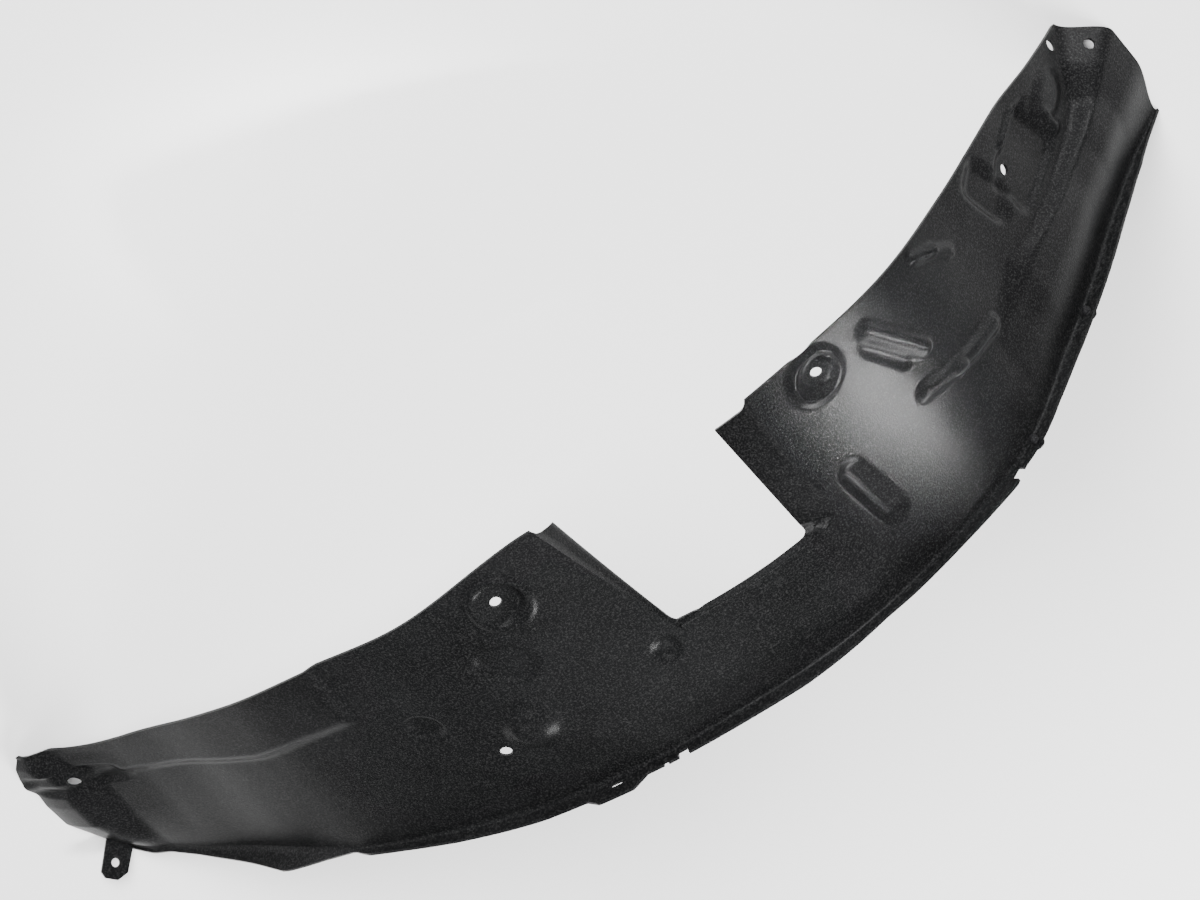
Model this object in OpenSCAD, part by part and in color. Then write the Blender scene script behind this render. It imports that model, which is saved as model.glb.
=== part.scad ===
// Wheel arch liner for the right-hand front wheel of a family car, moulded in one sheet of black plastic.
// Millimetres. +X is forward in the car, +Y inboard, +Z up. The liner stands on its two cut ends.
// The sheet is a loft: each point has an angle about the wheel axis, a place across the car and a radius.

/* [Show] */
// Which piece to build

/* [Sheet] */
// Radius of the sheet about the wheel axis at the crown. The liner's length and height follow from it
crown_radius = 338; // [300:1:380]
// Thickness of the moulded sheet
sheet_thickness = 2.5; // [1.5:0.1:4]
// Place of the outboard flange's outer face across the car
outboard_y = -115; // [-140:1:-90]
// Slope of the sheet down towards the engine side, in mm of drop for each mm across
inboard_slope = 0.02; // [0:0.01:0.2]

/* [Strut cut-out] */
// Angle of the front side of the strut cut-out
cutout_front_angle = 66; // [60:1:72]
// Angle of the rear side of the strut cut-out where it meets the bridge
cutout_rear_angle = 90; // [84:1:96]
// How much the rear side leans back by the time it reaches the inboard edge, in degrees
cutout_rear_lean = 6.5; // [0:0.5:12]
// Depth of the flange turned down along the front side of the cut-out, at its inboard end
cutout_front_flange = 26; // [10:1:40]
// Depth of the flange turned down along the rear side of the cut-out, at its inboard end
cutout_rear_flange = 26; // [10:1:40]
// Depth of the flange turned down along the bridge
cutout_bridge_flange = 7; // [5:1:25]

/* [Fixings] */
// Diameter of the fixing holes in the sheet
fixing_hole_d = 9; // [6:0.5:12]
// Place of the two upper fixing points across the car
upper_fixing_y = 75; // [60:1:90]
// Angle of the rear upper fixing point about the wheel axis
upper_rear_angle = 106.7; // [104:0.1:110]
// Angle of the front upper fixing point about the wheel axis
upper_front_angle = 57.7; // [54:0.1:60]
// Angle above level of the fixing hole half way up the front wall
front_wall_hole_tilt = 33; // [20:1:50]
// Diameter of the hole in the rear foot
foot_hole_d = 11; // [8:0.5:14]

/* [Clips] */
// Diameter of a clip's head
clip_head_d = 12; // [8:0.5:16]
// Diameter of a clip's shank
clip_shank_d = 6; // [4:0.5:8]
// Diametral play of a shank in its hole
clip_play = 0.4; // [0.1:0.1:1]

/* [Hidden] */
$fn = 48;
// the shift that puts the middle of the whole liner's footprint over the origin
place_shift = [13, 4.5, 0];
// the rear cut end; the front one is at angle 0
end_angle = 180;

// angle about the wheel axis, then how far the sheet stands outside the radius at the crown
rise_stations = [[0, 124], [7.5, 99], [15, 76], [30, 53], [45, 51], [60, 33], [75, 17], [90, 0],
                 [105, -5], [120, -2], [135, 8], [150, 32], [157.5, 48], [165, 69], [172.5, 103], [180, 142]];
// angle, then the inboard edge's place across the car
inboard_stations = [[0, 3], [6, 19], [15, 40], [30, 60], [45, 83], [60, 98], [75, 106], [96, 117],
                    [104, 112], [120, 90], [137, 75], [153, 51.5], [166, 30], [173, 17], [180, 12]];
// angle, then how far the outboard flange stands out from the sheet
flange_stations = [[0, 2], [3, 5], [6, 9], [10, 10.5], [14, 12], [30, 12], [38, 9.5], [44, 10], [47, 9],
                   [49.6, 14.5], [53, 12.5], [58, 11], [66, 10], [70, 8.5], [75, 11], [82, 14], [88, 13], [94, 12], [105, 10.5],
                   [107, 20], [112, 20], [114, 12], [120, 13], [134, 11], [142, 8], [147, 7.5], [150, 3],
                   [154, 8.5], [159, 19], [165, 13], [172, 5.5], [180, 1]];
// angle, then how far the flange's free edge leans outboard of its root
lean_stations = [[0, 0], [146, 0], [158, 5], [172, 2], [180, 0]];

// Smooth curve through stations: a cubic between each pair, with the slope at a station taken from its neighbours
function station_at(t, a, k = 0) = (k >= len(t) - 2 || a < t[k + 1][0]) ? k : station_at(t, a, k + 1);
function slope_at(t, k) =
    let (p = max(k - 1, 0), q = min(k + 1, len(t) - 1)) (t[q][1] - t[p][1]) / (t[q][0] - t[p][0]);
function curve(t, a) =
    let (k = station_at(t, a), w = t[k + 1][0] - t[k][0], u = min(max((a - t[k][0]) / w, 0), 1))
    t[k][1] * (2 * pow(u, 3) - 3 * u * u + 1) + slope_at(t, k) * w * (pow(u, 3) - 2 * u * u + u)
    + t[k + 1][1] * (3 * u * u - 2 * pow(u, 3)) + slope_at(t, k + 1) * w * (pow(u, 3) - u * u);
function straight(t, a) = lookup(a, t);
function ease(u) = let (v = min(max(u, 0), 1)) v * v * (3 - 2 * v);
function unit(v) = v / norm(v);
function total(v) = v * [for (x = v) 1];

function arch_radius(a) = crown_radius + curve(rise_stations, a);
function inboard_y(a) = curve(inboard_stations, a);
// length along the sheet of one degree, used for every pressed form
degree = PI / 180 * (crown_radius + 15);

// Distance from an oval's middle, 1 on its outline; a higher squareness gives straighter sides
function oval_distance(a, y, at, half, turn, squareness) =
    let (u = (a - at[0]) * degree, v = y - at[1],
         p = abs(u * cos(turn) + v * sin(turn)) / half[0], q = abs(v * cos(turn) - u * sin(turn)) / half[1])
    squareness == 2 ? norm([p, q]) : pow(pow(p, squareness) + pow(q, squareness), 1 / squareness);
// A raised or sunk oval
function oval(a, y, o) =
    let (d = oval_distance(a, y, o[0], o[1], o[2], o[5])) o[3] * ease((1 - d) * min(o[1]) / o[4] + 0.5);
// A narrow raised bead along an oval's outline
function bead(a, y, b) =
    let (d = oval_distance(a, y, b[0], b[1], b[2], 2)) b[3] * ease(1 - abs(d - 1) * min(b[1]) / b[4]);
// A ridge or groove from one point to another
ridge_top = 1.2;
function ridge(a, y, r) =
    let (p = [(a - r[0][0]) * degree, y - r[0][1]], d = [(r[1][0] - r[0][0]) * degree, r[1][1] - r[0][1]],
         u = min(max((p * d) / (d * d), 0), 1))
    r[3] * ease(ridge_top - norm(p - u * d) / r[2]);

// Front end: the outboard half is a raised channel behind a step, which runs up from the cut end
channel_height = [[0, 32], [5, 18], [10, 12], [20, 9], [28, 7], [34, 3], [38, 0]];
channel_edge = [[0, -14], [3.2, -23.6], [6, -38], [9, -43], [16, -44], [23, -39], [28, -34], [34, -38]];
channel_side = [[0, 38], [3.2, 31.6], [7, 13], [23, 11], [28, 24], [34, 20]];
channel_fade = [[0, 0.4], [8, 0.9]];
channel_fade_y = [-65, 50];
function front_channel(a, y) =
    straight(channel_height, a) * ease((straight(channel_edge, a) - y) / straight(channel_side, a) + 0.5)
    * (1 - straight(channel_fade, a) * ease((channel_fade_y[0] - y) / channel_fade_y[1]));

// Rear end: the sheet swells backwards into a foot, slowly at first and then with a sharp turn
foot_reach = [[-115, 4], [-95, 18], [-64, 33], [-40, 35], [-14, 33], [3, 28], [10, 22]];
foot_swell = [170, 10, 0.45];
foot_turn = [175, 2, 0.55];
foot_turn_lag = [-12, 0.1];
function rear_foot(a, y) =
    straight(foot_reach, y)
    * (foot_swell[2] * ease((a - foot_swell[0]) / foot_swell[1])
       + foot_turn[2] * ease((a - foot_turn[0] - max(0, y - foot_turn_lag[0]) * foot_turn_lag[1]) / foot_turn[1]));

// The rear lobe's inboard part is raised behind a short crease, and its outer side is a long soft step
crease_angle = 134.5;
crease_width = 2.2;
step_y = [[135, 18], [144, 9], [152, -4], [164, -8], [172, -16], [180, -22]];
step_height = [[135, 4], [150, 5], [170, 6]];
step_width = 13;
function rear_step(a, y) =
    straight(step_height, a) * ease((a - crease_angle) / crease_width)
    * ease((y - straight(step_y, a)) / step_width + 0.5);

// Each oval: place, half sizes along and across, turn, height, width of its sloping side, squareness
ovals = [
    // rear lobe: oval pad, dimple, cone, dimple by the bridge
    [[111.2, 22], [24, 17], 25, -4, 8, 2],
    [[127.5, -9], [14, 11], 20, -5, 8, 2],
    [[114.2, -38], [18, 16], 0, 8, 17, 2],
    [[92.8, -32], [10, 9], 0, -4, 8, 2],
    // front wall: sunk panel, the deeper pocket below the fixing hole, soft swelling near the cut end
    [[16, -5], [33, 25], 0, -4, 7, 5],
    [[23.7, 18], [14, 25], -12, -5, 8, 4],
    [[8, -6], [16, 13], 0, 3, 10, 2],
    // pocket in the rear foot
    [[176, -16], [22, 11], 0, -5, 5, 4]];
// Each bead: place, half sizes, turn, height, half width
beads = [
    [[106.2, 73], [24, 23], 0, 3, 6],
    [[58, 73], [19, 18], 0, 3, 6]];
// Each ridge: start, end, half width, height
ridges = [
    [[62, -8], [61.2, -56], 11, -5],
    [[50.4, 67], [46.2, 16], 8, 5],
    [[51.6, 56], [49, 22], 6, -2],
    [[36.8, -32], [44.8, -19], 8, 5],
    [[44.8, -19], [49.6, -8], 8, 5],
    [[39.6, 64], [37, 52], 6, 4],
    [[37, 52], [34.5, 34], 6, 4],
    [[13.4, 22], [17.6, 20], 5, 3],
    [[11.4, 10], [10, -25], 6, 3]];

function relief(a, y) =
    front_channel(a, y) + rear_foot(a, y) + rear_step(a, y)
    + total([for (o = ovals) oval(a, y, o)])
    + total([for (b = beads) bead(a, y, b)])
    + total([for (r = ridges) ridge(a, y, r)]);

// Rims of the cut-out. A rim has a coordinate from 0 at its fold to 2 at its free edge, in four steps of columns
// along the sides and two of rows along the bridge.
front_rim_turn = 4.1;
rear_rim_turn = 1.9;
rim_steps = 4;
front_rim_slant = 20;
rear_rim_slant = 20;
function rim_share(c) = c < 1 ? 0.3 * c : 0.3 + 0.7 * (c - 1);
function rim_fall(c) = c < 1 ? 0.3 * c * c : 0.3 + 0.7 * (c - 1);

// columns of the loft: from an angle, to an angle, in so many steps
function spread(spans) = [for (s = spans) for (k = [1:s[2]]) s[0] + (s[1] - s[0]) * k / s[2]];
front_columns = concat([0], spread([[0, 12, 8], [12, 34, 13], [34, 54, 12], [54, 62, 7],
                                    [62, cutout_front_angle, 2]]));
front_rim_columns = [for (k = [1:rim_steps]) cutout_front_angle + front_rim_turn * rim_share(2 * k / rim_steps)];
rear_rim_columns = [for (k = [0:rim_steps]) cutout_rear_angle - rear_rim_turn * rim_share(2 - 2 * k / rim_steps)];
bridge_gaps = 6;
bridge_columns = spread([[front_rim_columns[rim_steps - 1], rear_rim_columns[0], bridge_gaps]]);
rear_columns = spread([[cutout_rear_angle, 96, 4], [96, 103, 4], [103, 111, 8], [111, 132, 13], [132, 150, 9],
                       [150, 172, 10], [172, end_angle, 7]]);
columns = concat(front_columns, front_rim_columns, [for (k = [0:bridge_gaps - 2]) bridge_columns[k]],
                 rear_rim_columns, rear_columns);
last_col = len(columns) - 1;
front_col = len(front_columns) - 1;
rear_col = last_col - len(rear_columns);
cutout_middle = (cutout_front_angle + cutout_rear_angle) / 2;

// rows of the loft as a share of the way from the outboard to the inboard edge, after the flange's own rows
bridge_share = 0.39;
bridge_steps = 9;
bridge_rim = [0, 0.006, 0.014];
lobe_near = [0.03, 0.05];
lobe_steps = 11;
lobe_start = bridge_share + lobe_near[1];
shares = concat(
    [for (k = [0:bridge_steps - 1]) bridge_share * k / bridge_steps],
    [for (s = bridge_rim) bridge_share + s],
    [for (s = lobe_near) bridge_share + s],
    [for (k = [1:lobe_steps]) lobe_start + (1 - lobe_start) * k / lobe_steps]);
flange_rows = 3;
last_row = flange_rows + len(shares) - 1;
bridge_row = flange_rows + bridge_steps;
function row_share(j) = j < flange_rows ? 0 : shares[j - flange_rows];

function side_rim(i) = max(0, min(i - front_col, rear_col - i, rim_steps)) * 2 / rim_steps;
function bridge_rim_at(j) = max(0, min(j - bridge_row, 2));
function past_bridge(share) = max(0, share - bridge_share) / (1 - bridge_share);
function in_front_half(a) = a < cutout_middle;
// how many degrees a column lies beyond the rims, towards the middle of the bridge
function beyond_rims(a) =
    max(0, min(a - cutout_front_angle - front_rim_turn, cutout_rear_angle - rear_rim_turn - a));

// The rims are shallower near the bridge. The bridge's rim runs into the side rims over a short way.
rim_run = 0.05;
rim_gain = 2.2;
front_rim_least = 0.45;
rear_rim_least = 0.05;
function deepening(least, past) = least + (1 - least) * past;
function rim_drop(i, j) =
    let (a = columns[i], share = row_share(j), past = past_bridge(share),
         full = in_front_half(a) ? cutout_front_flange * deepening(front_rim_least, past)
                                 : cutout_rear_flange * deepening(rear_rim_least, past),
         beyond = ease((share - bridge_share - bridge_rim[2]) / rim_run))
    (j <= bridge_row || i <= front_col || i >= rear_col) ? 0 :
    min(full * rim_fall(side_rim(i)) + rim_gain * beyond_rims(a),
        cutout_bridge_flange * rim_fall(bridge_rim_at(j)) * (1 - beyond) + full * beyond);
// The inboard ends of the side rims are cut back at a slant
function rim_slant(i, j) =
    (in_front_half(columns[i]) ? front_rim_slant : rear_rim_slant) * side_rim(i) / 2 * past_bridge(row_share(j));
function in_sheet(i, j) =
    i >= 0 && i < last_col && j >= 0 && j < last_row
    && !(j >= bridge_row + 2 && i >= front_col + rim_steps && i < rear_col - rim_steps);

// The cut-out's two corners are rounded: the sheet and the rims near them are drawn into the opening.
// Radii at the fold and at the free edge
front_corner = [14, 7];
rear_corner = [13, 11];
corner_fade = 14;
function corner_pull(u, v, radius) =
    let (t = min(max(u, v, 0), radius), turn = 45 * (1 - t / radius),
         near = radius * (1 - cos(turn)), far = radius * (1 - sin(turn)) - t,
         fade = ease(1 + (min(u, 0) + min(v, 0)) / corner_fade))
    (v >= u ? [near, far] : [far, near]) * fade;
function corner_shift(i, j, width) =
    let (depth = min(side_rim(i), bridge_rim_at(j)),
         row_offset = straight([[0, bridge_rim[0]], [1, bridge_rim[1]], [2, bridge_rim[2]]], depth),
         v = (row_share(j) - bridge_share - row_offset) * width,
         u_front = (columns[i] - cutout_front_angle - front_rim_turn * rim_share(depth)) * degree,
         u_rear = (cutout_rear_angle - rear_rim_turn * rim_share(depth) - columns[i]) * degree,
         front = in_front_half(columns[i]),
         corner = front ? front_corner : rear_corner,
         pull = corner_pull(front ? u_front : u_rear, v, corner[0] + (corner[1] - corner[0]) * depth / 2))
    [(front ? 1 : -1) * pull[0] / degree, pull[1]];

// The rear side of the cut-out leans back, and carries the columns behind it along. Its rim widens with the lean
lean_start = cutout_rear_angle - 2;
lean_end = cutout_rear_angle + 18;
rim_narrowing = 0.75;
function lean(a, share) =
    let (past = past_bridge(share),
         weight = a < lean_start ? 0 : a <= cutout_rear_angle ? 1
             : max(0, (lean_end - a) / (lean_end - cutout_rear_angle)),
         narrow = a < lean_start || a > cutout_rear_angle ? 0 : (cutout_rear_angle - a) * rim_narrowing * (1 - past))
    cutout_rear_lean * weight * past + narrow;

// flange rows: free edge, half way, and the root of the bend, as a share of the flange's height
flange_share = [1, 0.5, 0.12];
flange_inset = [0, 0, 0.6];
root_y = outboard_y + sheet_thickness + 3;

// A level seat round a fixing hole whose axis is upright: inside it the sheet lies at one height
seat_level = crown_radius - 25;
upper_rear_x = seat_level / tan(upper_rear_angle);
upper_front_x = seat_level / tan(upper_front_angle);
upper_seats = [[upper_rear_x, upper_fixing_y, 15, 6], [upper_front_x, upper_fixing_y, 9, 5]];
function seated(a, y, r, k = 0) =
    k >= len(upper_seats) ? r :
    let (s = upper_seats[k], d = norm([r * cos(a) - s[0], y - s[1]]), w = ease((s[2] - d) / s[3] + 1))
    w > 0 ? r * (1 - w) + seat_level / sin(a) * w : seated(a, y, r, k + 1);

slope_run = 25;
function sheet_slope(a, y) = inboard_slope * max(0, y - root_y) * ease(min(a, end_angle - a) / slope_run);
function skin_point(i, j) =
    let (share = row_share(j), on_flange = j < flange_rows, width = inboard_y(columns[i]) - root_y,
         pull = on_flange ? [0, 0] : corner_shift(i, j, width),
         a = columns[i] + lean(columns[i], share) + pull[0],
         up = straight(flange_stations, a), out = straight(lean_stations, a),
         y = on_flange
             ? outboard_y + sheet_thickness - out * flange_share[j] + flange_inset[j]
             : root_y + (inboard_y(a) - root_y) * share - rim_slant(i, j) + pull[1],
         h = on_flange ? up * flange_share[j] + relief(a, root_y) : relief(a, y),
         r = seated(a, y, arch_radius(a) + h - rim_drop(i, j) - sheet_slope(a, y)))
    [r * cos(a), y, i == 0 || i == last_col ? 0 : r * sin(a)];

skin = [for (i = [0:last_col]) [for (j = [0:last_row]) skin_point(i, j)]];
function skin_normal(i, j) =
    unit(cross(skin[i][min(j + 1, last_row)] - skin[i][max(j - 1, 0)],
               skin[min(i + 1, last_col)][j] - skin[max(i - 1, 0)][j]));
// the cut ends are level, so there the wheel side is set back level too
end_setback = 1.25;
function wheel_side_point(i, j) =
    i > 0 && i < last_col ? skin[i][j] - sheet_thickness * skin_normal(i, j)
        : j < flange_rows ? skin[i][j] - [0, sheet_thickness, 0]
        : skin[i][j] - [sign(skin[i][j][0]) * sheet_thickness * end_setback, 0, 0];

rows = last_row + 1;
function body(i, j) = i * rows + j;
function wheel(i, j) = (last_col + 1 + i) * rows + j;
function quad(a, b, c, d) = [[a, b, c], [a, c, d]];
// the four faces of a cell's wall towards the free edge on one side of it, from one corner to the next
function wall(i, j, p, q) =
    quad(body(i + q[0], j + q[1]), body(i + p[0], j + p[1]), wheel(i + p[0], j + p[1]), wheel(i + q[0], j + q[1]));
// a neighbour's place, then the two corners of the cell on that side
sides = [[[-1, 0], [0, 1], [0, 0]], [[1, 0], [1, 0], [1, 1]], [[0, -1], [0, 0], [1, 0]], [[0, 1], [1, 1], [0, 1]]];

module sheet() {
    points = concat(
        [for (i = [0:last_col]) for (j = [0:last_row]) skin[i][j]],
        [for (i = [0:last_col]) for (j = [0:last_row]) wheel_side_point(i, j)]);
    cells = [for (i = [0:last_col - 1]) for (j = [0:last_row - 1]) if (in_sheet(i, j)) [i, j]];
    faces = concat(
        [for (c = cells) each quad(body(c[0], c[1]), body(c[0] + 1, c[1]),
                                   body(c[0] + 1, c[1] + 1), body(c[0], c[1] + 1))],
        [for (c = cells) each quad(wheel(c[0], c[1]), wheel(c[0], c[1] + 1),
                                   wheel(c[0] + 1, c[1] + 1), wheel(c[0] + 1, c[1]))],
        [for (c = cells) for (s = sides)
            if (!in_sheet(c[0] + s[0][0], c[1] + s[0][1])) each wall(c[0], c[1], s[1], s[2])]);
    polyhedron(points = points, faces = faces, convexity = 10);
}

// A point of the sheet's body side, and a frame there whose Z axis lies along a given direction
function on_sheet(a, y) =
    let (r = arch_radius(a) + relief(a, y) - sheet_slope(a, y)) [r * cos(a), y, r * sin(a)];
module along(at, axis) {
    translate(at)
        rotate([0, acos(axis[2] / norm(axis)), atan2(axis[1], axis[0])])
            children();
}

// Holes: the rear small one and the one in the front wall are given as an angle and a place across
rear_small_hole = [119.6, -52];
front_wall_hole = [18.9, 6];
// two holes close to the front cut end, both square to the wall there
front_end_x = arch_radius(0);
front_end_holes = [[front_end_x - 10, 2, 20], [front_end_x + 12, -23, 11]];
front_end_axis = [0.66, 0.53, 0.55];
// the hole in the pocket of the rear foot
foot_hole = [176.2, -17];
foot_hole_axis = [-0.5, -0.1, 0.85];
through = 60;
module hole_along(at, axis, d = fixing_hole_d) {
    along(at, axis) cylinder(d = d, h = through, center = true);
}
module fixing_holes() {
    hole_along([upper_rear_x, upper_fixing_y, seat_level], [0, 0, 1]);
    hole_along([upper_front_x, upper_fixing_y, seat_level], [0, 0, 1]);
    hole_along(on_sheet(rear_small_hole[0], rear_small_hole[1]), [0, 0, 1]);
    hole_along(on_sheet(front_wall_hole[0], front_wall_hole[1]),
               [cos(front_wall_hole_tilt), 0, sin(front_wall_hole_tilt)]);
    hole_along(on_sheet(foot_hole[0], foot_hole[1]), foot_hole_axis, foot_hole_d);
    for (at = front_end_holes) hole_along(at, front_end_axis);
}

// The flange carries holes whose axes run across the car, given as an angle and a height above the sheet
flange_slot = [109.5, 7, 12, 4];
clip_places = [[25.4, 6.5], [43.8, 5.5]];
flange_cut = 12;
module at_flange(a, height) {
    rotate([0, -a, 0]) translate([arch_radius(a) + relief(a, outboard_y) + height, outboard_y, 0])
        rotate([-90, 0, 0]) children();
}
module flange_holes() {
    for (p = clip_places)
        at_flange(p[0], p[1]) cylinder(d = clip_shank_d + clip_play, h = flange_cut, center = true);
    at_flange(flange_slot[0], flange_slot[1])
        linear_extrude(flange_cut, center = true)
            hull() for (side = [-1, 1])
                translate([0, side * (flange_slot[2] - flange_slot[3]) / 2]) circle(d = flange_slot[3]);
}
// Nicks and a torn place in the flange's free edge: angle, height of flange left standing, width
nicks = [[48.2, 4.4, 11], [99.6, 5, 9], [102.2, 8, 4]];
nick_reach = 20;
module edge_nicks() {
    for (n = nicks)
        at_flange(n[0], n[1] + nick_reach / 2) cube([nick_reach, n[2], flange_cut], center = true);
}

// A holed lug on the outboard corner of the rear foot, turned out and slightly up
lug_root = [-arch_radius(end_angle) - 12, outboard_y + 11, 4.6];
lug_width = 22;
lug_length = 31;
lug_hole_d = 7;
lug_hole_at = [14, -1, 0];
lug_along = unit([-0.68, -0.51, 0.528]);
lug_up = unit(cross(lug_along, [0.6, -0.8, 0]));
lug_side = cross(lug_up, lug_along);
lug_overlap = 4;
module at_lug() {
    multmatrix([for (k = [0:2]) [lug_along[k], lug_side[k], lug_up[k], lug_root[k]]])
        children();
}
module lug() {
    at_lug()
        translate([-lug_overlap, 0, -sheet_thickness])
            linear_extrude(sheet_thickness)
                polygon([[0, -lug_width / 2], [lug_length - 4, -lug_width / 2],
                         [lug_length, 4 - lug_width / 2], [lug_length, lug_width / 2 - 8],
                         [lug_length - 7, lug_width / 2 - 1], [0, lug_width / 2]]);
}

module liner() {
    color([0.12, 0.12, 0.13])
        translate(place_shift)
            difference() {
                union() {
                    sheet();
                    lug();
                }
                at_lug() translate(lug_hole_at) cylinder(d = lug_hole_d, h = flange_cut, center = true);
                fixing_holes();
                flange_holes();
                edge_nicks();
            }
}

// A push-in clip: a flat head with a low dome outside the flange, and a finned shank through it
head_thickness = 1.6;
fin_d = 7.6;
module clip(place) {
    color([0.07, 0.07, 0.08])
        translate(place_shift)
            at_flange(place[0], place[1])
                rotate_extrude()
                    polygon([[0, -head_thickness - 1.6], [2, -head_thickness - 1.5], [3.6, -head_thickness - 0.7],
                             [4, -head_thickness], [clip_head_d / 2 - 0.5, -head_thickness],
                             [clip_head_d / 2, -head_thickness / 2], [clip_head_d / 2, 0], [clip_shank_d / 2, 0],
                             [clip_shank_d / 2, 3], [fin_d / 2, 3.1], [fin_d / 2, 3.6], [clip_shank_d / 2, 5],
                             [fin_d / 2, 5.1], [fin_d / 2, 5.6], [clip_shank_d / 2 - 0.4, 7], [1.4, 9], [0, 9.4]]);
}
module upper_clip() { clip(clip_places[0]); }
module lower_clip() { clip(clip_places[1]); }

liner();
upper_clip();
lower_clip();
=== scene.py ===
"""Right-hand front wheel arch liner, dressed for rendering.

The moulded sheet is lofted again here, finely, from the same stations as the solid it stands for. Each of
its points has an angle about the wheel axis, a place across the car and a radius. Lengths are in millimetres
until a mesh is made, and then in metres. +X is forward in the car, +Y inboard and +Z up.
"""
import math

import bpy
import numpy as np
from mathutils import Matrix, Vector


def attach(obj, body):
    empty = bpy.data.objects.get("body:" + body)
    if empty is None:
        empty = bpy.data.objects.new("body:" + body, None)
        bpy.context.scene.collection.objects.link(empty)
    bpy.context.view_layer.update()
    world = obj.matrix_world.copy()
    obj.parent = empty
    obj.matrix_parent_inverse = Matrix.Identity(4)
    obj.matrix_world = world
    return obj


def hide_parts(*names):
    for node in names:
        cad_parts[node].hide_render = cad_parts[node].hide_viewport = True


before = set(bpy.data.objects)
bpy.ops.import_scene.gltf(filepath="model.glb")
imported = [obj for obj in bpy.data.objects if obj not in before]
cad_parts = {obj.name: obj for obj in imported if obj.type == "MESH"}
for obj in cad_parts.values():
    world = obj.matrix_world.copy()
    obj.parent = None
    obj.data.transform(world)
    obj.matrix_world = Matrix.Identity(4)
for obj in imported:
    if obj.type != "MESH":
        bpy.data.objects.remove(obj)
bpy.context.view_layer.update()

MM = 0.001

# Sheet. Angles are in degrees about the wheel axis, 0 at the front end and 180 at the rear end
AXIS_PLACE = np.array([13.0, 4.5, 0.0])
CROWN_RADIUS = 338.0
THICKNESS = 2.5
OUTBOARD_Y = -115.0
FLANGE_BEND = 3.0
ROOT_Y = OUTBOARD_Y + THICKNESS + FLANGE_BEND
INBOARD_SLOPE = 0.02
SLOPE_FADE = 25.0
END_SLANT = 1.25
MIDDLE_RISE = 15.0
# length of one degree along the sheet
DEGREE = math.radians(1) * (CROWN_RADIUS + MIDDLE_RISE)
# Each station is an angle and a value: rise over the crown, inboard edge, height of the flange and how far
# outboard the flange's edge leans
RISE_STATIONS = [(0, 124), (7.5, 99), (15, 76), (30, 53), (45, 51), (60, 33), (75, 17), (90, 0), (105, -5),
                 (120, -2), (135, 8), (150, 32), (157.5, 48), (165, 69), (172.5, 103), (180, 142)]
INBOARD_STATIONS = [(0, 3), (6, 19), (15, 40), (30, 60), (45, 83), (60, 98), (75, 106), (96, 117), (104, 112),
                    (120, 90), (137, 75), (153, 51.5), (166, 30), (173, 17), (180, 12)]
FLANGE_STATIONS = [(0, 2), (3, 5), (6, 9), (10, 10.5), (14, 12), (30, 12), (38, 9.5), (44, 10), (47, 9),
                   (49.6, 14.5), (53, 12.5), (58, 11), (66, 10), (70, 8.5), (75, 11), (82, 14), (88, 13),
                   (94, 12), (105, 10.5), (107, 20), (112, 20), (114, 12), (120, 13), (134, 11), (142, 8),
                   (147, 7.5), (150, 3), (154, 8.5), (159, 19), (165, 13), (172, 5.5), (180, 1)]
LEAN_STATIONS = [(0, 0), (146, 0), (158, 5), (172, 2), (180, 0)]

# Strut cut-out
FRONT_ANGLE = 66.0
REAR_ANGLE = 90.0
REAR_LEAN = 6.5
LEAN_START = 88.0
LEAN_END = 108.0
FRONT_FLANGE = 26.0
REAR_FLANGE = 26.0
FRONT_LEAST = 0.45
REAR_LEAST = 0.05
BRIDGE_FLANGE = 7.0
# shares of the sheet's width: where the bridge folds down, and the bend's end and free edge beyond the fold
BRIDGE_SHARE = 0.39
BRIDGE_RIM = (0.0, 0.006, 0.014)
# a rim's coordinate at its fold, at the end of its bend and at its free edge
RIM_MARKS = (0.0, 1.0, 2.0)
FREE_EDGE = RIM_MARKS[-1]
RIM_BEND = 0.3
FRONT_RIM_TURN = 4.1
REAR_RIM_TURN = 1.9
RIM_RUN = 0.05
RIM_GAIN = 2.2
RIM_NARROWING = 0.75
FRONT_SLANT = 20.0
REAR_SLANT = 20.0
# radius of a corner at the fold and at the free edge
FRONT_CORNER = (14.0, 7.0)
REAR_CORNER = (13.0, 11.0)
CORNER_FADE = 14.0
CUTOUT_MIDDLE = (FRONT_ANGLE + REAR_ANGLE) / 2

# Fixings
HOLE_D = 9.0
SEAT_FALL = 25.0
SEAT_LEVEL = CROWN_RADIUS - SEAT_FALL
LEAST_SINE = 0.2
UPPER_Y = 75.0
UPPER_REAR_ANGLE = 106.7
UPPER_FRONT_ANGLE = 57.7
UPPER_REAR_X = SEAT_LEVEL / math.tan(math.radians(UPPER_REAR_ANGLE))
UPPER_FRONT_X = SEAT_LEVEL / math.tan(math.radians(UPPER_FRONT_ANGLE))
# place, radius of the level seat and width of the slope round it
UPPER_SEATS = [(UPPER_REAR_X, UPPER_Y, 15.0, 6.0), (UPPER_FRONT_X, UPPER_Y, 9.0, 5.0)]
# A hole in the sheet has an angle and a place across the car, and one in the flange an angle and a height
# above the flange's root. The front end pair are points
REAR_SMALL_HOLE = (119.6, -52.0)
FRONT_WALL_HOLE = (18.9, 6.0)
FRONT_WALL_TILT = math.radians(33)
FRONT_END_HOLES = [(452.0, 2.0, 20.0), (474.0, -23.0, 11.0)]
FRONT_END_AXIS = (0.66, 0.53, 0.55)
FOOT_HOLE = (176.2, -17.0)
FOOT_HOLE_AXIS = (-0.5, -0.1, 0.85)
FOOT_HOLE_D = 11.0
CLIP_PLACES = [(25.4, 6.5), (43.8, 5.5)]
CLIP_HOLE_D = 6.4
FLANGE_SLOT = (109.5, 7.0, 12.0, 4.0)
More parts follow.
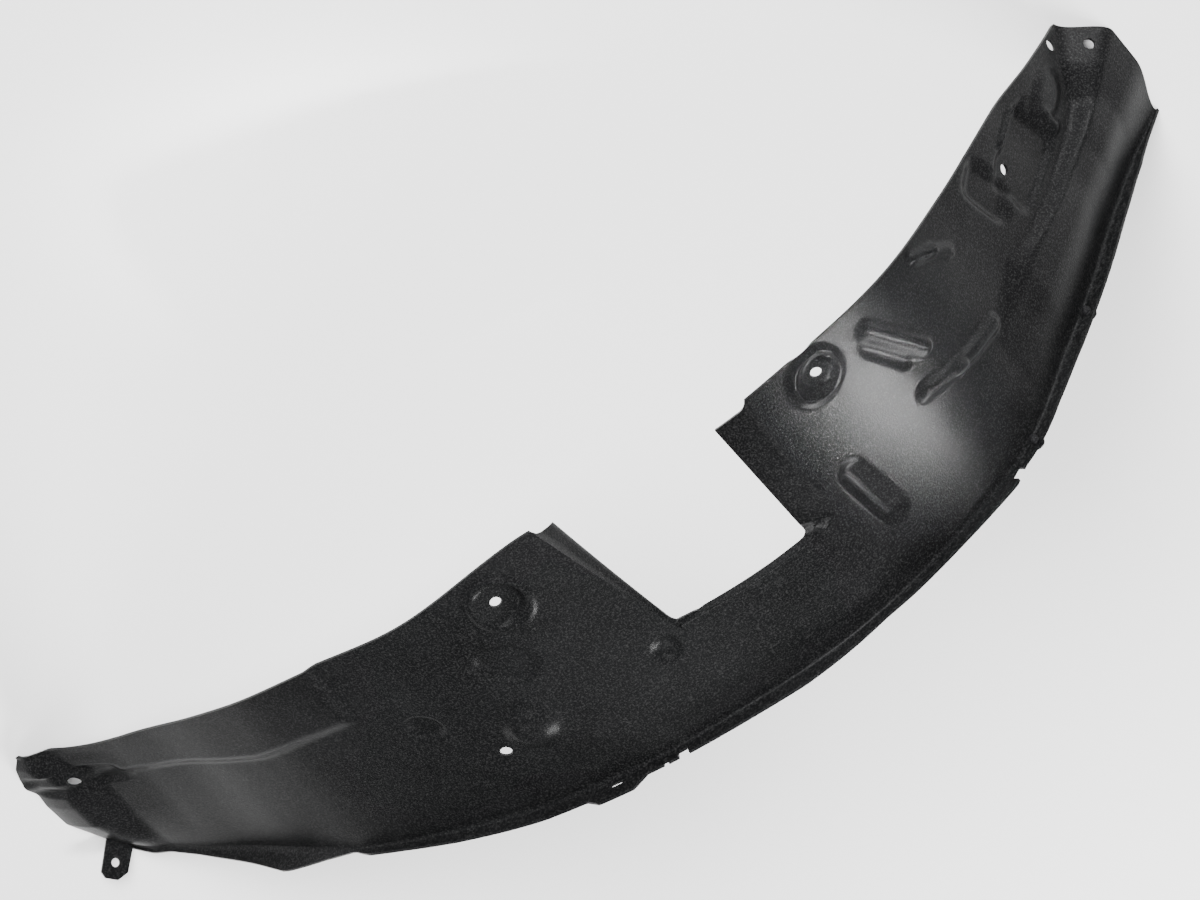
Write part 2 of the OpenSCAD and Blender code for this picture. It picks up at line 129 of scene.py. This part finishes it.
# angle, height of flange left standing, width
NICKS = [(48.2, 4.4, 11.0), (99.6, 5.0, 9.0), (102.2, 8.0, 4.0)]
NICK_REACH = 10.0
LUG_ROOT = (-492.0, -104.0, 4.6)
LUG_ALONG = (-0.68, -0.51, 0.528)
LUG_ACROSS = (0.6, -0.8, 0.0)
LUG_WIDTH = 22.0
LUG_LENGTH = 31.0
LUG_OVERLAP = 4.0
LUG_TAPER = 1.0
LUG_CORNERS = (4.0, 7.0)
LUG_HOLE = (14.0, -1.0, 0.0)
LUG_HOLE_D = 7.0
# lengths of the cutting shapes
HOLE_DEPTH = 60.0
FLANGE_DEPTH = 12.0
LUG_DEPTH = 20.0
CIRCLE_SIDES = 48
SLOT_END_SIDES = 16

# Pressed forms. Each oval: place, half sizes along and across, turn, height, width of its side, squareness
OVALS = [
    ((111.2, 22), (24, 17), 25, -4, 8, 2),
    ((127.5, -9), (14, 11), 20, -5, 8, 2),
    ((114.2, -38), (18, 16), 0, 8, 17, 2),
    ((92.8, -32), (10, 9), 0, -4, 8, 2),
    ((16, -5), (33, 25), 0, -4, 7, 5),
    ((23.7, 18), (14, 25), -12, -5, 8, 4),
    ((8, -6), (16, 13), 0, 3, 10, 2),
    ((176, -16), (22, 11), 0, -5, 5, 4)]
# Each bead: place, half sizes, turn, height, half width
BEADS = [
    ((106.2, 73), (24, 23), 0, 3, 6),
    ((58, 73), (19, 18), 0, 3, 6)]
# Each ridge: start, end, half width, height
RIDGES = [
    ((62, -8), (61.2, -56), 11, -5),
    ((50.4, 67), (46.2, 16), 8, 5),
    ((51.6, 56), (49, 22), 6, -2),
    ((36.8, -32), (44.8, -19), 8, 5),
    ((44.8, -19), (49.6, -8), 8, 5),
    ((39.6, 64), (37, 52), 6, 4),
    ((37, 52), (34.5, 34), 6, 4),
    ((13.4, 22), (17.6, 20), 5, 3),
    ((11.4, 10), (10, -25), 6, 3)]
RIDGE_CROWN = 1.2

# Front channel: its height, the middle of its side, the side's width, and how much it fades outboard
CHANNEL_HEIGHT = [(0, 32), (5, 18), (10, 12), (20, 9), (28, 7), (34, 3), (38, 0)]
CHANNEL_EDGE = [(0, -14), (3.2, -23.6), (6, -38), (9, -43), (16, -44), (23, -39), (28, -34), (34, -38)]
CHANNEL_SIDE = [(0, 38), (3.2, 31.6), (7, 13), (23, 11), (28, 24), (34, 20)]
CHANNEL_FADE = [(0, 0.4), (8, 0.9)]
FADE_Y = -65
FADE_RUN = 50

# Rear foot: its height by place across the car, shared by a long swell and a short lip that starts later
# towards the inboard edge
FOOT_HEIGHT = [(-115, 4), (-95, 18), (-64, 33), (-40, 35), (-14, 33), (3, 28), (10, 22)]
SWELL_SHARE = 0.45
SWELL_START = 170
SWELL_RUN = 10
LIP_SHARE = 0.55
LIP_START = 175
LIP_RUN = 2
LIP_TURN_Y = -12
LIP_TURN = 0.1

# Rear step: the middle of its side and its height
STEP_EDGE = [(135, 18), (144, 9), (152, -4), (164, -8), (172, -16), (180, -22)]
STEP_HEIGHT = [(135, 4), (150, 5), (170, 6)]
STEP_START = 134.5
STEP_RUN = 2.2
STEP_SIDE = 13

SHARP_ANGLE = 32


def ease(u):
    v = np.clip(u, 0.0, 1.0)
    return v * v * (3.0 - 2.0 * v)


def straight(stations, a):
    angles, values = zip(*stations)
    return np.interp(a, angles, values)


def curve(stations, a):
    """A cubic between each pair of stations, with the slope at a station taken from its neighbours."""
    x = np.array([s[0] for s in stations], float)
    v = np.array([s[1] for s in stations], float)
    before = np.maximum(np.arange(len(x)) - 1, 0)
    after = np.minimum(np.arange(len(x)) + 1, len(x) - 1)
    slope = (v[after] - v[before]) / (x[after] - x[before])
    k = np.clip(np.searchsorted(x, a, side="right") - 1, 0, len(x) - 2)
    w = x[k + 1] - x[k]
    u = np.clip((a - x[k]) / w, 0.0, 1.0)
    u2, u3 = u ** 2, u ** 3
    return (v[k] * (2 * u3 - 3 * u2 + 1) + slope[k] * w * (u3 - 2 * u2 + u)
            + v[k + 1] * (3 * u2 - 2 * u3) + slope[k + 1] * w * (u3 - u2))


def arch_radius(a):
    return CROWN_RADIUS + curve(RISE_STATIONS, a)


def oval_distance(a, y, at, half, turn, squareness=2):
    """Distance from an oval's middle, 1 on its outline."""
    u = (a - at[0]) * DEGREE
    v = y - at[1]
    c, s = math.cos(math.radians(turn)), math.sin(math.radians(turn))
    p, q = np.abs(u * c + v * s) / half[0], np.abs(v * c - u * s) / half[1]
    return (p ** squareness + q ** squareness) ** (1 / squareness)


def oval(a, y, at, half, turn, height, side, squareness):
    """A raised or sunk oval with a sloping side."""
    d = oval_distance(a, y, at, half, turn, squareness)
    return height * ease((1 - d) * min(half) / side + 0.5)


def bead(a, y, at, half, turn, height, width):
    """A narrow raised bead along an oval's outline."""
    d = oval_distance(a, y, at, half, turn)
    return height * ease(1 - np.abs(d - 1) * min(half) / width)


def ridge(a, y, start, end, half_width, height):
    """A ridge or groove from one point to another, each given as an angle and a place across the car."""
    px, py = (a - start[0]) * DEGREE, y - start[1]
    dx, dy = (end[0] - start[0]) * DEGREE, end[1] - start[1]
    u = np.clip((px * dx + py * dy) / (dx * dx + dy * dy), 0, 1)
    return height * ease(RIDGE_CROWN - np.hypot(px - u * dx, py - u * dy) / half_width)


def front_channel(a, y):
    across = (straight(CHANNEL_EDGE, a) - y) / straight(CHANNEL_SIDE, a)
    fade = straight(CHANNEL_FADE, a) * ease((FADE_Y - y) / FADE_RUN)
    return straight(CHANNEL_HEIGHT, a) * ease(across + 0.5) * (1 - fade)


def rear_foot(a, y):
    lip_start = LIP_START + np.maximum(0, y - LIP_TURN_Y) * LIP_TURN
    swell = SWELL_SHARE * ease((a - SWELL_START) / SWELL_RUN)
    return straight(FOOT_HEIGHT, y) * (swell + LIP_SHARE * ease((a - lip_start) / LIP_RUN))


def rear_step(a, y):
    across = (y - straight(STEP_EDGE, a)) / STEP_SIDE
    return straight(STEP_HEIGHT, a) * ease((a - STEP_START) / STEP_RUN) * ease(across + 0.5)


def relief(a, y):
    """Height of the pressed forms above the plain arch."""
    h = front_channel(a, y) + rear_foot(a, y) + rear_step(a, y)
    for form, table in ((oval, OVALS), (bead, BEADS), (ridge, RIDGES)):
        for row in table:
            h = h + form(a, y, *row)
    return h


def sheet_slope(a, y):
    """How far the sheet falls towards its inboard edge, away from the two ends."""
    return INBOARD_SLOPE * np.maximum(0, y - ROOT_Y) * ease(np.minimum(a, 180 - a) / SLOPE_FADE)


def on_sheet(angle, y):
    """A point of the sheet's body side."""
    a, y = np.array(float(angle)), np.array(float(y))
    r = float(arch_radius(a) + relief(a, y) - sheet_slope(a, y))
    return r * math.cos(math.radians(angle)), float(y), r * math.sin(math.radians(angle))


def seated(a, y, r):
    """Pull the sheet to one height inside each level seat."""
    for x0, y0, radius, side in UPPER_SEATS:
        d = np.hypot(r * np.cos(np.radians(a)) - x0, y - y0)
        w = ease((radius - d) / side + 1)
        r = r * (1 - w) + SEAT_LEVEL / np.maximum(np.sin(np.radians(a)), LEAST_SINE) * w
    return r


def rim_share(c):
    """Share of a rim's width at a coordinate."""
    return np.where(c < 1, RIM_BEND * c, RIM_BEND + (1 - RIM_BEND) * (c - 1))


def rim_fall(c):
    """Share of a rim's depth there, rounded where it leaves the sheet."""
    return np.where(c < 1, RIM_BEND * c * c, RIM_BEND + (1 - RIM_BEND) * (c - 1))


def rim_coordinate(share):
    """The coordinate at a share of the rim's width."""
    return np.interp(share, (0.0, RIM_BEND, 1.0), RIM_MARKS)


def corner_pull(u, v, radius):
    """How far a point near a corner of the cut-out is drawn into the opening, so that the corner is round."""
    t = np.clip(np.maximum(u, v), 0, radius)
    half_turn = np.radians(45)
    turn = half_turn * (1 - t / radius)
    near = radius * (1 - np.cos(turn))
    far = radius * (1 - np.sin(turn)) - t
    fade = ease(1 + (np.minimum(u, 0) + np.minimum(v, 0)) / CORNER_FADE)
    return np.where(v >= u, near, far) * fade, np.where(v >= u, far, near) * fade


def steps(spans):
    """Places along a line, from spans of a start, an end and a number of equal cells."""
    out = [spans[0][0]]
    for start, end, count in spans:
        out += [start + (end - start) * k / count for k in range(1, count + 1)]
    return np.array(out)


REAR_RIM_ANGLE = REAR_ANGLE - REAR_RIM_TURN
FRONT_RIM_ANGLE = FRONT_ANGLE + FRONT_RIM_TURN
COLUMNS = steps([(0.0, 30.0, 80), (30.0, FRONT_ANGLE, 92), (FRONT_ANGLE, FRONT_RIM_ANGLE, 10),
                 (FRONT_RIM_ANGLE, REAR_RIM_ANGLE, 28), (REAR_RIM_ANGLE, REAR_ANGLE, 6),
                 (REAR_ANGLE, 132.0, 118), (132.0, 170.0, 60), (170.0, 180.0, 26)])
SHARES = steps([(0.0, BRIDGE_SHARE, 38), (BRIDGE_SHARE, BRIDGE_SHARE + BRIDGE_RIM[1], 2),
                (BRIDGE_SHARE + BRIDGE_RIM[1], BRIDGE_SHARE + BRIDGE_RIM[2], 2),
                (BRIDGE_SHARE + BRIDGE_RIM[2], 1.0, 60)])
# the flange's rows: share of its height, and how far inboard of its face the bend has come
FLANGE_ROWS = [(1.0, 0.0), (0.8, 0.0), (0.6, 0.0), (0.42, 0.0), (0.28, 0.0), (0.17, 0.25), (0.08, 0.9),
               (0.02, 1.9)]


def sheet_grid():
    """The body side of the sheet: points by column and row, and which cells are kept."""
    flange = np.array(FLANGE_ROWS)
    n_flange = len(flange)
    a0 = np.repeat(COLUMNS[:, None], n_flange + len(SHARES), 1)
    share = np.r_[np.zeros(n_flange), SHARES][None, :] + 0 * a0
    on_flange = (np.arange(a0.shape[1]) < n_flange)[None, :]
    past = np.maximum(0, share - BRIDGE_SHARE) / (1 - BRIDGE_SHARE)
    in_front = a0 < CUTOUT_MIDDLE
    # rim coordinates
    side = np.where(in_front, rim_coordinate((a0 - FRONT_ANGLE) / FRONT_RIM_TURN),
                    rim_coordinate((REAR_ANGLE - a0) / REAR_RIM_TURN))
    bridge = np.interp(share - BRIDGE_SHARE, BRIDGE_RIM, RIM_MARKS)
    # rounded corners
    depth = np.minimum(side, bridge)
    width = curve(INBOARD_STATIONS, a0) - ROOT_Y
    v = (share - BRIDGE_SHARE - np.interp(depth, RIM_MARKS, BRIDGE_RIM)) * width
    u = np.where(in_front, a0 - FRONT_ANGLE - FRONT_RIM_TURN * rim_share(depth),
                 REAR_ANGLE - REAR_RIM_TURN * rim_share(depth) - a0) * DEGREE
    fold = np.where(in_front, FRONT_CORNER[0], REAR_CORNER[0])
    free = np.where(in_front, FRONT_CORNER[1], REAR_CORNER[1])
    pull_a, pull_y = corner_pull(u, v, fold + (free - fold) * depth / FREE_EDGE)
    pull_a = np.where(on_flange, 0, np.where(in_front, 1, -1) * pull_a / DEGREE)
    pull_y = np.where(on_flange, 0, pull_y)
    # the rear side leans back
    behind = np.maximum(0, (LEAN_END - a0) / (LEAN_END - REAR_ANGLE))
    weight = np.where(a0 < LEAN_START, 0, np.where(a0 <= REAR_ANGLE, 1, behind))
    on_rear_rim = (a0 >= LEAN_START) & (a0 <= REAR_ANGLE)
    narrow = np.where(on_rear_rim, (REAR_ANGLE - a0) * RIM_NARROWING * (1 - past), 0)
    a = a0 + REAR_LEAN * weight * past + narrow + pull_a
    # depth of the rims
    full = np.where(in_front, FRONT_FLANGE * (FRONT_LEAST + (1 - FRONT_LEAST) * past),
                    REAR_FLANGE * (REAR_LEAST + (1 - REAR_LEAST) * past))
    beyond = ease((share - BRIDGE_SHARE - BRIDGE_RIM[2]) / RIM_RUN)
    inside = np.maximum(0, np.minimum(a0 - FRONT_RIM_ANGLE, REAR_RIM_ANGLE - a0))
    drop = np.minimum(full * rim_fall(side) + RIM_GAIN * inside,
                      BRIDGE_FLANGE * rim_fall(bridge) * (1 - beyond) + full * beyond)
    drop = np.where((share > BRIDGE_SHARE) & (a0 > FRONT_ANGLE) & (a0 < REAR_ANGLE), drop, 0)
    slant = np.where(in_front, FRONT_SLANT, REAR_SLANT) * side / FREE_EDGE * past
    height = np.r_[flange[:, 0], np.zeros(len(SHARES))][None, :]
    inset = np.r_[flange[:, 1], np.zeros(len(SHARES))][None, :]
    y_flange = OUTBOARD_Y + THICKNESS - straight(LEAN_STATIONS, a) * height + inset
    y_sheet = ROOT_Y + (curve(INBOARD_STATIONS, a) - ROOT_Y) * share - slant + pull_y
    y = np.where(on_flange, y_flange, y_sheet)
    h = np.where(on_flange, straight(FLANGE_STATIONS, a) * height + relief(a, ROOT_Y + 0 * a), relief(a, y))
    r = seated(a, y, arch_radius(a) + h - drop - sheet_slope(a, y))
    t = np.radians(a)
    points = np.stack([r * np.cos(t), y, r * np.sin(t)], -1)
    points[[0, -1], :, 2] = 0.0
    # the cells inside every rim's free edge are open
    tiny = 1e-6
    side_free, bridge_free = side >= FREE_EDGE - tiny, bridge >= FREE_EDGE - tiny
    open_cell = (side_free[:-1, :-1] & side_free[1:, :-1] & bridge_free[:-1, :-1]
                 & (a0[:-1, :-1] >= FRONT_RIM_ANGLE - tiny) & (a0[1:, :-1] <= REAR_RIM_ANGLE + tiny))
    return points, ~open_cell, n_flange


def wheel_side(points, n_flange):
    """The other skin, one thickness away towards the wheel, and level at the two cut ends."""
    across = np.gradient(points, axis=1)
    along = np.gradient(points, axis=0)
    normal = np.cross(across, along)
    normal /= np.linalg.norm(normal, axis=-1, keepdims=True)
    inner = points - THICKNESS * normal
    for i in (0, -1):
        inner[i, n_flange:] = points[i, n_flange:]
        inner[i, n_flange:, 0] -= np.sign(points[i, n_flange:, 0]) * THICKNESS * END_SLANT
        inner[i, :n_flange] = points[i, :n_flange] - [0, THICKNESS, 0]
    return inner


def sheet_mesh():
    """Both skins of the sheet, and the walls that join them along every edge."""
    points, keep, n_flange = sheet_grid()
    inner = wheel_side(points, n_flange)
    columns, rows = points.shape[:2]
    index = np.arange(columns * rows).reshape(columns, rows)
    shift = columns * rows
    a, b, c, d = index[:-1, :-1], index[1:, :-1], index[1:, 1:], index[:-1, 1:]
    body = np.stack([a, d, c, b], -1)[keep]
    wheel = np.stack([a, b, c, d], -1)[keep] + shift
    padded = np.pad(keep, 1)
    walls = []
    for (di, dj), (p, q) in {(-1, 0): (a, d), (1, 0): (c, b), (0, -1): (b, a), (0, 1): (d, c)}.items():
        neighbour = padded[1 + di:columns + di, 1 + dj:rows + dj]
        edge = keep & ~neighbour
        walls.append(np.stack([q[edge], p[edge], p[edge] + shift, q[edge] + shift], -1))
    faces = np.concatenate([body, wheel] + walls)
    vertices = np.concatenate([points.reshape(-1, 3), inner.reshape(-1, 3)])
    used = np.unique(faces)
    lookup = np.zeros(len(vertices), int)
    lookup[used] = np.arange(len(used))
    return vertices[used], lookup[faces]


def new_object(name, vertices, faces):
    mesh = bpy.data.meshes.new(name)
    mesh.from_pydata([tuple(v) for v in vertices], [], [tuple(f) for f in faces])
    mesh.update()
    obj = bpy.data.objects.new(name, mesh)
    bpy.context.scene.collection.objects.link(obj)
    return obj


def to_frame(vertices):
    return (np.asarray(vertices, float) + AXIS_PLACE) * MM


def axis_turn(axis):
    """Turn that takes +Z to an axis."""
    return Vector((0, 0, 1)).rotation_difference(Vector(axis).normalized()).to_matrix()


def prism(outline, z_low, z_high):
    """A closed prism over an outline given anticlockwise."""
    n = len(outline)
    vertices = [(x, y, z_low) for x, y in outline] + [(x, y, z_high) for x, y in outline]
    faces = [tuple(reversed(range(n))), tuple(range(n, 2 * n))]
    faces += [(k, (k + 1) % n, n + (k + 1) % n, n + k) for k in range(n)]
    return vertices, faces


def circle(d):
    turns = [2 * math.pi * k / CIRCLE_SIDES for k in range(CIRCLE_SIDES)]
    return [(d / 2 * math.cos(t), d / 2 * math.sin(t)) for t in turns]


def slot_outline(length, width):
    """A slot along +Y."""
    out = []
    for end, start in ((1, 0.0), (-1, math.pi)):
        for k in range(SLOT_END_SIDES + 1):
            t = start + math.pi * k / SLOT_END_SIDES
            out.append((width / 2 * math.cos(t), end * (length - width) / 2 + width / 2 * math.sin(t)))
    return out


def placed(outline, depth, turn, at):
    """A prism half to each side of a place, turned there."""
    vertices, faces = prism(outline, -depth / 2, depth / 2)
    return [turn @ Vector(v) + Vector(at) for v in vertices], faces


def flange_place(angle, height):
    """A point on the flange's outer face, and the turn whose Z runs inboard and whose X runs outwards."""
    t = math.radians(angle)
    r = float(arch_radius(angle) + relief(np.array(angle), np.array(OUTBOARD_Y))) + height
    out = Vector((math.cos(t), 0, math.sin(t)))
    inboard = Vector((0, 1, 0))
    tangent = inboard.cross(out)
    turn = Matrix((out, tangent, inboard)).transposed()
    return turn, (r * math.cos(t), OUTBOARD_Y, r * math.sin(t))


def lug_frame():
    """The turn of the rear tab: X along it, Y across it and Z out of its face."""
    out = Vector(LUG_ALONG).normalized()
    up = out.cross(Vector(LUG_ACROSS)).normalized()
    return Matrix((out, up.cross(out), up)).transposed()


def cutter():
    """Everything that is cut out of the sheet, as one object."""
    parts = []
    upright = Matrix.Identity(3)
    for x, y, z in [(x, y, SEAT_LEVEL) for x, y, *_ in UPPER_SEATS] + [on_sheet(*REAR_SMALL_HOLE)]:
        parts.append(placed(circle(HOLE_D), HOLE_DEPTH, upright, (x, y, z)))
    wall_axis = (math.cos(FRONT_WALL_TILT), 0, math.sin(FRONT_WALL_TILT))
    parts.append(placed(circle(HOLE_D), HOLE_DEPTH, axis_turn(wall_axis), on_sheet(*FRONT_WALL_HOLE)))
    parts.append(placed(circle(FOOT_HOLE_D), HOLE_DEPTH, axis_turn(FOOT_HOLE_AXIS), on_sheet(*FOOT_HOLE)))
    for at in FRONT_END_HOLES:
        parts.append(placed(circle(HOLE_D), HOLE_DEPTH, axis_turn(FRONT_END_AXIS), at))
    for place in CLIP_PLACES:
        turn, at = flange_place(*place)
        parts.append(placed(circle(CLIP_HOLE_D), FLANGE_DEPTH, turn, at))
    turn, at = flange_place(*FLANGE_SLOT[:2])
    parts.append(placed(slot_outline(*FLANGE_SLOT[2:]), FLANGE_DEPTH, turn, at))
    for angle, standing, width in NICKS:
        turn, at = flange_place(angle, standing + NICK_REACH)
        square = [(-NICK_REACH, -width / 2), (NICK_REACH, -width / 2), (NICK_REACH, width / 2),
                  (-NICK_REACH, width / 2)]
        parts.append(placed(square, FLANGE_DEPTH, turn, at))
    turn = lug_frame()
    hole = turn @ Vector(LUG_HOLE) + Vector(LUG_ROOT)
    parts.append(placed(circle(LUG_HOLE_D), LUG_DEPTH, turn, hole))
    vertices, faces = [], []
    for part_vertices, part_faces in parts:
        faces += [tuple(k + len(vertices) for k in f) for f in part_faces]
        vertices += [tuple(v) for v in part_vertices]
    return new_object("cutter", to_frame(vertices), faces)


def lug():
    """The tab at the rear end, with two cut corners at its tip."""
    half, tip = LUG_WIDTH / 2, LUG_LENGTH - LUG_OVERLAP
    small, large = LUG_CORNERS
    outline = [(-LUG_OVERLAP, -half), (tip - small, -half), (tip, small - half),
               (tip, half - LUG_TAPER - large), (tip - large, half - LUG_TAPER), (-LUG_OVERLAP, half)]
    vertices, faces = prism(outline, -THICKNESS, 0)
    turn = lug_frame()
    return new_object("lug", to_frame([turn @ Vector(v) + Vector(LUG_ROOT) for v in vertices]), faces)


def boolean(target, tool, operation):
    modifier = target.modifiers.new(operation, "BOOLEAN")
    modifier.operation = operation
    modifier.object = tool
    modifier.solver = "EXACT"
    graph = bpy.context.evaluated_depsgraph_get()
    mesh = bpy.data.meshes.new_from_object(target.evaluated_get(graph))
    target.modifiers.remove(modifier)
    old = target.data
    target.data = mesh
    bpy.data.meshes.remove(old)
    bpy.data.objects.remove(tool)


def shade(obj):
    for polygon in obj.data.polygons:
        polygon.use_smooth = True
    obj.data.set_sharp_from_angle(angle=math.radians(SHARP_ANGLE))


def build_liner():
    vertices, faces = sheet_mesh()
    liner = new_object("moulded_sheet", to_frame(vertices), faces)
    boolean(liner, lug(), "UNION")
    boolean(liner, cutter(), "DIFFERENCE")
    shade(liner)
    return liner


# Materials
def grey(v):
    return (v, v, v)


DUST_COLOUR = grey(0.05)
SCUFF_COLOUR = grey(0.08)
PLASTIC_IOR = 1.12
FLOW_STRENGTH = 0.3
FLOW_DEPTH = 0.0015
GRAIN_DEPTH = 0.0004


def node(tree, kind, at):
    n = tree.nodes.new(kind)
    n.location = at
    return n


def noise(tree, coords, at, scale, detail, roughness, stretch=None):
    """Noise over the object's own metres. A stretch is a scale and a turn of those first."""
    n = node(tree, "ShaderNodeTexNoise", at)
    n.inputs["Scale"].default_value = scale
    n.inputs["Detail"].default_value = detail
    n.inputs["Roughness"].default_value = roughness
    if stretch:
        mapping = node(tree, "ShaderNodeMapping", (at[0] - 200, at[1]))
        mapping.inputs["Scale"].default_value = stretch[0]
        mapping.inputs["Rotation"].default_value = stretch[1]
        tree.links.new(coords, mapping.inputs["Vector"])
        coords = mapping.outputs["Vector"]
    tree.links.new(coords, n.inputs["Vector"])
    return n.outputs["Fac"]


def ramp(tree, source, at, stops):
    """A ramp between two stops, each a place and a colour."""
    n = node(tree, "ShaderNodeValToRGB", at)
    for element, (place, colour) in zip(n.color_ramp.elements, stops):
        element.position = place
        element.color = (*colour, 1.0)
    tree.links.new(source, n.inputs["Fac"])
    return n.outputs["Color"]


def over(tree, at, mask, under, colour):
    """A colour laid over another where a mask is light."""
    n = node(tree, "ShaderNodeMix", at)
    n.data_type = "RGBA"
    factor, a, b = n.inputs[0], n.inputs[6], n.inputs[7]
    tree.links.new(mask, factor)
    tree.links.new(under, a)
    b.default_value = (*colour, 1.0)
    return n.outputs[2]


def bump(tree, at, height, strength, distance):
    n = node(tree, "ShaderNodeBump", at)
    n.inputs["Strength"].default_value = strength
    n.inputs["Distance"].default_value = distance
    tree.links.new(height, n.inputs["Height"])
    return n


def moulded_black(name, base, light, rough_low, rough_high, grain):
    """Moulded black plastic: fine grain, slight flow mottle, dust and short scuffs."""
    material = bpy.data.materials.new(name)
    material.use_nodes = True
    tree = material.node_tree
    shader = tree.nodes["Principled BSDF"]
    coords = node(tree, "ShaderNodeTexCoord", (-1400, 0)).outputs["Object"]
    mottle = noise(tree, coords, (-1100, 300), 14.0, 5.0, 0.6)
    dust = noise(tree, coords, (-1100, 60), 700.0, 4.0, 0.7)
    scuff = noise(tree, coords, (-1100, -200), 1.0, 6.0, 0.65, ((60.0, 320.0, 90.0), (0.3, 0.2, 0.6)))
    fine = noise(tree, coords, (-1100, -480), 900.0, 2.0, 0.5)
    flow = noise(tree, coords, (-1100, -740), 22.0, 2.0, 0.4)
    tone = ramp(tree, mottle, (-800, 300), [(0.3, base), (0.72, light)])
    scuff_mask = ramp(tree, scuff, (-800, -200), [(0.7, grey(0.0)), (0.78, grey(0.4))])
    dust_mask = ramp(tree, dust, (-800, 60), [(0.48, grey(0.0)), (0.72, grey(0.5))])
    dusty = over(tree, (-500, 250), dust_mask, tone, DUST_COLOUR)
    colour = over(tree, (-300, 200), scuff_mask, dusty, SCUFF_COLOUR)
    tree.links.new(colour, shader.inputs["Base Color"])
    rough = ramp(tree, mottle, (-500, -60), [(0.25, grey(rough_low)), (0.8, grey(rough_high))])
    tree.links.new(rough, shader.inputs["Roughness"])
    shader.inputs["IOR"].default_value = PLASTIC_IOR
    waves = bump(tree, (-500, -700), flow, FLOW_STRENGTH, FLOW_DEPTH)
    pits = bump(tree, (-250, -480), fine, grain, GRAIN_DEPTH)
    tree.links.new(waves.outputs["Normal"], pits.inputs["Normal"])
    tree.links.new(pits.outputs["Normal"], shader.inputs["Normal"])
    return material


def pale_floor():
    material = bpy.data.materials.new("pale_floor")
    material.use_nodes = True
    shader = material.node_tree.nodes["Principled BSDF"]
    shader.inputs["Base Color"].default_value = (0.95, 0.95, 0.95, 1)
    shader.inputs["Roughness"].default_value = 0.9
    half, z = 9.0, -0.0005
    corners = [(-half, -half, z), (half, -half, z), (half, half, z), (-half, half, z)]
    floor = new_object("floor", corners, [(0, 1, 2, 3)])
    floor.data.materials.append(material)


def camera():
    """A long lens from inboard and above, rolled as the photograph is."""
    right = Vector((0.8047, -0.5491, 0.2227)).normalized()
    back = Vector((0.133, 0.533, 0.835)).normalized()
    up = back.cross(right).normalized()
    right = up.cross(back)
    target = Vector((0.0189, 0.0025, 0.1065))
    distance = 10.0
    data = bpy.data.cameras.new("camera")
    data.lens = 400.0
    data.sensor_width = 36.0
    data.clip_end = 100.0
    cam = bpy.data.objects.new("camera", data)
    turn = Matrix((right, up, back)).transposed().to_4x4()
    cam.matrix_world = Matrix.Translation(target + back * distance) @ turn
    bpy.context.scene.collection.objects.link(cam)
    bpy.context.scene.camera = cam


def area_light(name, direction, distance, size, power, aim=(0.02, 0.0, 0.2), spread=180.0):
    """A lamp at a distance from the point it is aimed at, which is under the crown unless given."""
    data = bpy.data.lights.new(name, "AREA")
    data.shape = "RECTANGLE"
    data.size, data.size_y = size
    data.energy = power
    data.spread = math.radians(spread)
    light = bpy.data.objects.new(name, data)
    direction = Vector(direction).normalized()
    light.location = Vector(aim) + direction * distance
    light.rotation_mode = "QUATERNION"
    light.rotation_quaternion = direction.to_track_quat("Z", "Y")
    bpy.context.scene.collection.objects.link(light)


def studio():
    world = bpy.data.worlds.new("studio")
    world.use_nodes = True
    background = world.node_tree.nodes["Background"]
    background.inputs["Color"].default_value = (1, 1, 1, 1)
    background.inputs["Strength"].default_value = 0.35
    bpy.context.scene.world = world
    area_light("key", (0.56, -0.5, 0.66), 1.1, (0.1, 0.1), 0.3, aim=(0.24, 0.032, 0.3), spread=10.0)
    area_light("window", (0.08, -0.87, 0.45), 2.2, (0.9, 0.4), 100)
    area_light("front", (0.83, 0.51, 0.07), 1.8, (0.5, 0.25), 26, aim=(0.4, 0.0, 0.1))
    area_light("soft", (-0.42, -0.5, 0.75), 2.4, (1.4, 1.0), 14)
    area_light("overhead", (0.0, 0.7, 0.71), 3.2, (1.6, 1.6), 290)


camera()
sheet_finish = moulded_black("sheet_black", base=(0.003, 0.0031, 0.0033), light=(0.006, 0.0062, 0.0066),
                             rough_low=0.27, rough_high=0.36, grain=0.45)
clip_finish = moulded_black("clip_black", base=(0.004, 0.004, 0.0045), light=(0.008, 0.008, 0.009),
                            rough_low=0.4, rough_high=0.55, grain=0.2)

liner = build_liner()
liner.data.materials.clear()
liner.data.materials.append(sheet_finish)
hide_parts("liner")
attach(liner, "root")

for name in ("upper_clip", "lower_clip"):
    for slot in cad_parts[name].material_slots:
        slot.material = clip_finish

pale_floor()
studio()
